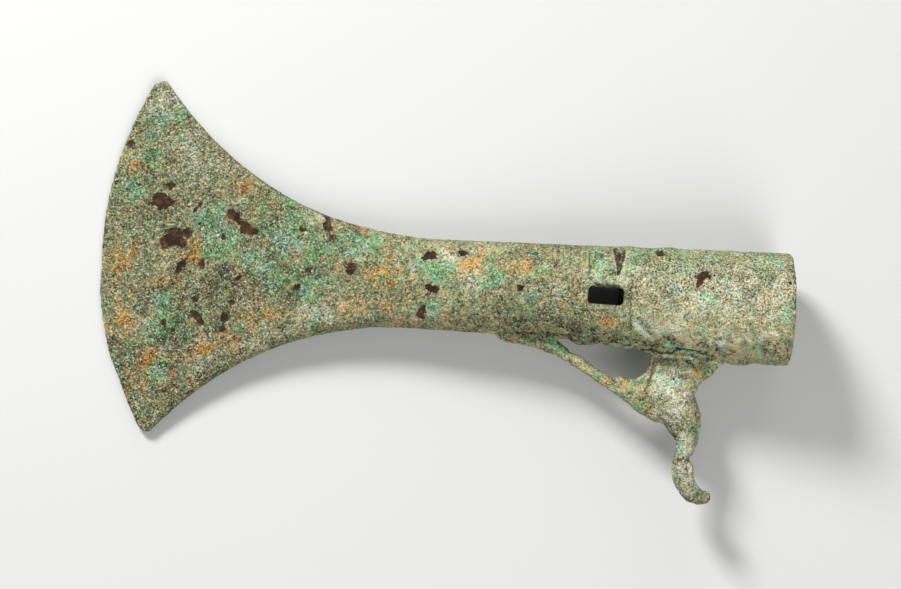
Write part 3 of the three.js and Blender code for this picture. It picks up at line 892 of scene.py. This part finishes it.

# %% [markdown]
# The narrowest lines are finer than the skin's points, so the shader draws them: dark cuts and cracks,
# and pale lips beside some of them. Some dark lines are painted shadow, along the plate's root under
# the socket's overhanging crust and on the slot's upper wall, and some pale lips are painted highlights
# on lit edges. Each has two ends as seen from above, a half width and a strength. A line is where the
# distance across it is under its half width, between its two ends. The distance is a dot product of the
# place with a direction, and a little noise is added to it, so that the line wanders as a real crack
# does. On the underside so much is added that no line shows there. The sum is the same for each line,
# so it is made once, as a group of nodes, and used again for each.

# %% Fine cracks and cuts, painted shadows and highlights
LIMB_TOP = 3.0
LIMB_SEEN_FROM = -15.0
FAR_OFF = 1000
# Dark lines: cracks and cuts, and painted shadow along the plate's root under the socket and on the slot's
# upper wall.
CUTS_AND_SHADOWS = [
    ((163.2, 15.2), (165, 6.6), 0.26, 0.9), ((166.3, 15.4), (165.2, 6.8), 0.22, 0.9),
    ((164.8, 13), (165, 7.5), 0.5, 0.45), ((169.2, 3), (169.5, -3), 0.2, 0.45),
    ((169.6, -3.5), (170.1, -9), 0.24, 0.6),
    ((155.3, 13.5), (155.7, 7), 0.22, 0.5), ((157.2, 14.2), (156.9, 8.4), 0.2, 0.6),
    ((171.8, -7.2), (177.2, -12.2), 0.24, 0.5), ((168, -15.2), (170.8, -14.7), 0.3, 0.9),
    ((172.9, -14.9), (175, -14.3), 0.24, 0.8), ((173.5, -16.1), (177.3, -15.8), 0.26, 0.95),
    ((177.3, -16), (180.2, -16.9), 0.16, 0.8), ((180.2, -16.9), (183.3, -16.6), 0.2, 0.9),
    ((183.2, -16.6), (185.5, -15.5), 0.26, 1), ((185.5, -15.5), (187.2, -15.1), 0.16, 0.9),
    ((187.2, -15.1), (190.8, -15.4), 0.3, 0.95), ((190.8, -15.4), (193.7, -16.3), 0.18, 0.8),
    ((193.7, -16.3), (197.5, -16.9), 0.16, 0.7), ((188.1, -18.9), (189.5, -19.3), 0.34, 1),
    ((189.4, -19.3), (190.5, -19.6), 0.26, 1), ((190.4, -19.5), (191.2, -20.6), 0.3, 1),
    ((188.2, -18.9), (190.6, -18), 0.2, 1), ((178.6, -19.5), (177.4, -26.3), 0.3, 0.5),
    ((177.4, -26.3), (175.7, -29.9), 0.3, 0.45), ((149.5, 3), (151, -4), 0.2, 0.5),
    ((206, 6), (211, 1), 0.16, 0.4), ((157, 3.7), (165.6, 3.2), 0.5, 0.75),
    ((188.6, -50.1), (190.6, -50.5), 0.16, 0.7), ((190.9, -51.2), (191.5, -54), 0.18, 0.6),
    ((180.6, -36.6), (184.6, -39.4), 0.4, 0.55), ((184.8, -39.6), (186.4, -43), 0.3, 0.5),
    ((192.6, -35), (193.4, -41), 0.24, 0.5), ((181.5, -35), (186, -38), 0.16, 0.5),
]
TOOL_MARKS = {"x": (138.6, 143.4, 145.3, 146.9, 150.2, 153.9), "y": (14.4, 9.8), "lean": 0.3}
TOOL_MARK_HALF = 0.14
TOOL_MARK_STRENGTH = 0.5
for x_mark in TOOL_MARKS["x"]:
    top, foot = TOOL_MARKS["y"]
    ends = (x_mark, top), (x_mark + TOOL_MARKS["lean"], foot)
    CUTS_AND_SHADOWS.append((*ends, TOOL_MARK_HALF, TOOL_MARK_STRENGTH))
# Pale lips beside the cuts, partly painted highlights on the lit edges of grooves, of the ledge along the
# plate's root, of the haunch and of the shank.
LIPS_AND_HIGHLIGHTS = [
    ((162.4, 14.8), (164.2, 7.6), 0.2, 0.5), ((167, 14.9), (166, 7.6), 0.2, 0.5),
    ((179, -15.8), (182.6, -15.7), 0.4, 0.5), ((186, -14.5), (190, -14.4), 0.3, 0.4),
    ((180.8, -17.9), (184.6, -17.4), 0.3, 0.4), ((190.8, -16.5), (194, -17.2), 0.4, 0.5),
    ((189, -17.7), (191.8, -18.6), 0.4, 0.6), ((168.2, -16), (171, -15.5), 0.3, 0.6),
    ((191.6, -51.2), (192.6, -56.6), 0.42, 0.8), ((193.9, -37), (194.4, -43), 0.2, 0.55),
    ((176, -11.6), (177.6, -13), 0.5, 0.6), ((144.3, 14), (144.6, 9.8), 0.16, 0.5),
    ((145.9, 14), (146.3, 9.8), 0.16, 0.45), ((155, 13.8), (155.1, 9.8), 0.16, 0.45),
    ((156, -3.5), (166.5, -3.9), 0.22, 0.35), ((174, -26.2), (176.4, -22.4), 0.24, 0.6),
    ((183, -36.6), (186.4, -38.8), 0.24, 0.45),
]


def on_surface(seen_x, seen_y):
    """Where a point of the top that is seen at x, y lies: drawn in by its height, then laid down."""
    side = UPPER if seen_y > 0 else LOWER
    share = min(abs(seen_y) / float(half_width(np.float64(seen_x), side)), 1)
    z = max(float(half_thickness(seen_x)) * math.sqrt(1 - share**2), LIMB_TOP * (seen_y < LIMB_SEEN_FROM))
    spot = LOOK_AT + (np.array([seen_x, seen_y, 0.0]) - LOOK_AT) * (1 - z * MM / DISTANCE)
    return laid(spot + (0, 0, z)) + shift


line = bpy.data.node_groups.new("line", "ShaderNodeTree")
for name in ("Place", "Middle", "Ahead", "Aside"):
    line.interface.new_socket(name, in_out="INPUT", socket_type="NodeSocketVector")
for name in ("Wander", "Half width", "Half length"):
    line.interface.new_socket(name, in_out="INPUT", socket_type="NodeSocketFloat")
line.interface.new_socket("On line", in_out="OUTPUT", socket_type="NodeSocketFloat")
given = node(line, "NodeGroupInput", {}, {}).outputs
away = node(line, "ShaderNodeVectorMath", {"operation": "SUBTRACT"}, {0: given["Place"], 1: given["Middle"]})


def off(direction, half, softness):
    """0 within half of the line's middle in that direction, shaken by the wander, and 1 past it."""
    values = {0: away.outputs[0], 1: given[direction]}
    product = node(line, "ShaderNodeVectorMath", {"operation": "DOT_PRODUCT"}, values)
    shaken = Value(line, product.outputs["Value"]) + 2.2 * Value(line, given["Wander"])
    return (shaken.size() - Value(line, given[half])).above(0, softness)


on = (1 - off("Aside", "Half width", 0.15)) * (1 - off("Ahead", "Half length", 0.4))
node(line, "NodeGroupOutput", {}, {"On line": on})
wander = speckle(2.0, 3, 18.0, 0.7) + FAR_OFF * (1 - field("top"))


def on_line(start, end, half):
    """1 on a line between two seen points, 0 beside it and past its ends."""
    start, end = on_surface(*start) * (1, 1, 0), on_surface(*end) * (1, 1, 0)
    reach = np.linalg.norm(end - start)
    ahead = (end - start) / reach
    values = {
        "Place": place, "Middle": (start + end) / 2 * MM, "Ahead": ahead / MM,
        "Aside": np.array([-ahead[1], ahead[0], 0]) / MM, "Wander": wander,
        "Half width": half, "Half length": reach / 2,
    }
    return Value(tree, node(tree, "ShaderNodeGroup", {"node_tree": line}, values).outputs[0])


# Pale lips, partly painted highlights.
for start, end, half, strength in LIPS_AND_HIGHLIGHTS:
    colour = mixed(strength * on_line(start, end, half), colour, cream)
# Dark lines, some of them painted shadow.
for start, end, half, strength in CUTS_AND_SHADOWS:
    colour = mixed(strength * on_line(start, end, half), colour, soot)
print("cuts and lips drawn:", len(CUTS_AND_SHADOWS), len(LIPS_AND_HIGHLIGHTS))

# %% [markdown]
# Dry corrosion is matt. Only the bare oxide is a little smoother. The finest grains are too small to
# be moved points, so a Bump node tilts the light over them.

# %% Finish of the patina
height = 2.4 * speckle(1.0, 2, 16.0, 0.7) + 1.4 * grit + 0.8 * sand
bump = node(tree, "ShaderNodeBump", {}, {"Strength": 1.0, "Distance": 0.7 * MM, "Height": height})
roughness = 0.9 - 0.28 * is_bare
shader = node(tree, "ShaderNodeBsdfPrincipled", {}, {
    "Base Color": colour, "Roughness": roughness, "Metallic": 0.0, "Normal": bump.outputs[0],
})
shader.inputs["Specular IOR Level"].default_value = 0.22
node(tree, "ShaderNodeOutputMaterial", {}, {"Surface": shader.outputs[0]})
smooth.data.materials.append(patina)
print("patina nodes:", len(tree.nodes))

# %% [markdown]
# The finished piece stands for the casting of the frame and moves with it.

# %% Hand the piece to the frame
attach(smooth, "root")
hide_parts("axe_head")
print("piece handed in:", smooth.name)

# %% [markdown]
# The photograph looks square onto the flat of the blade, with the socket dipping four degrees to the
# right. The camera stands 0.8 m off along the blade's normal, so its up direction is the blade's own
# Y, turned by those four degrees.

# %% Camera


def standing(right, up, back, spot):
    """The matrix of an object with those three directions as its axes, at that spot."""
    return Matrix(np.vstack([np.stack([right, up, back, spot], axis=1), [0, 0, 0, 1]]).tolist())


ROLL = math.radians(4)
FIELD_WIDTH = 287.3
SENSOR_WIDTH = 36.0
target = (laid(LOOK_AT) + shift) * MM
normal = laid(np.array([0, 0, 1.0]))
right = laid(np.array([math.cos(ROLL), math.sin(ROLL), 0]))
up = np.cross(normal, right)
lens = bpy.data.cameras.new("camera")
lens.sensor_width = SENSOR_WIDTH
lens.lens = SENSOR_WIDTH * DISTANCE / (FIELD_WIDTH * MM)
camera = bpy.data.objects.new("camera", lens)
camera.matrix_world = standing(right, up, normal, target + normal * DISTANCE)
bpy.context.scene.collection.objects.link(camera)
bpy.context.scene.camera = camera
print("lens in mm:", round(lens.lens, 1))

# %% [markdown]
# A plain pale floor, and soft light from three square lamps: the key from the upper left of the
# picture, low enough to rake over the grains, a broad fill from the lower right and a weak light from
# behind. A dim white world lifts the shadows.

# %% Floor and lights
FLOOR_HALF = 3000.0
floor_corners = FLOOR_HALF * np.array([[-1, -1, 0], [1, -1, 0], [1, 1, 0], [-1, 1, 0]])
floor = mesh_object("floor", floor_corners, [[0, 1, 2, 3]])
matt = bpy.data.materials.new("floor")
matt.use_nodes = True
finish = matt.node_tree.nodes["Principled BSDF"].inputs
finish["Base Color"].default_value = (0.62, 0.62, 0.61, 1)
finish["Roughness"].default_value = 0.9
floor.data.materials.append(matt)


def soft_light(name, place_m, size, watts):
    """A square area lamp of that size that faces the axe."""
    lamp = bpy.data.lights.new(name, "AREA")
    lamp.shape, lamp.size, lamp.energy = "SQUARE", size, watts
    made = bpy.data.objects.new(name, lamp)
    away = np.array(place_m) / np.linalg.norm(place_m)
    side = np.cross((0, 1, 0), away)
    side /= np.linalg.norm(side)
    top = np.cross(away, side)
    made.matrix_world = standing(side, top, away, np.array(place_m))
    bpy.context.scene.collection.objects.link(made)


soft_light("key", (-0.6, 0.82, 0.66), 0.3, 20.5)
soft_light("fill", (0.5, -0.8, 0.9), 1.0, 10.5)
soft_light("back", (0.2, 1.2, 0.5), 0.8, 3)
world = bpy.data.worlds.new("studio")
world.use_nodes = True
sky = world.node_tree.nodes["Background"].inputs
sky["Color"].default_value = (1, 1, 1, 1)
sky["Strength"].default_value = 0.22
bpy.context.scene.world = world
bpy.context.scene.view_settings.view_transform = "Standard"
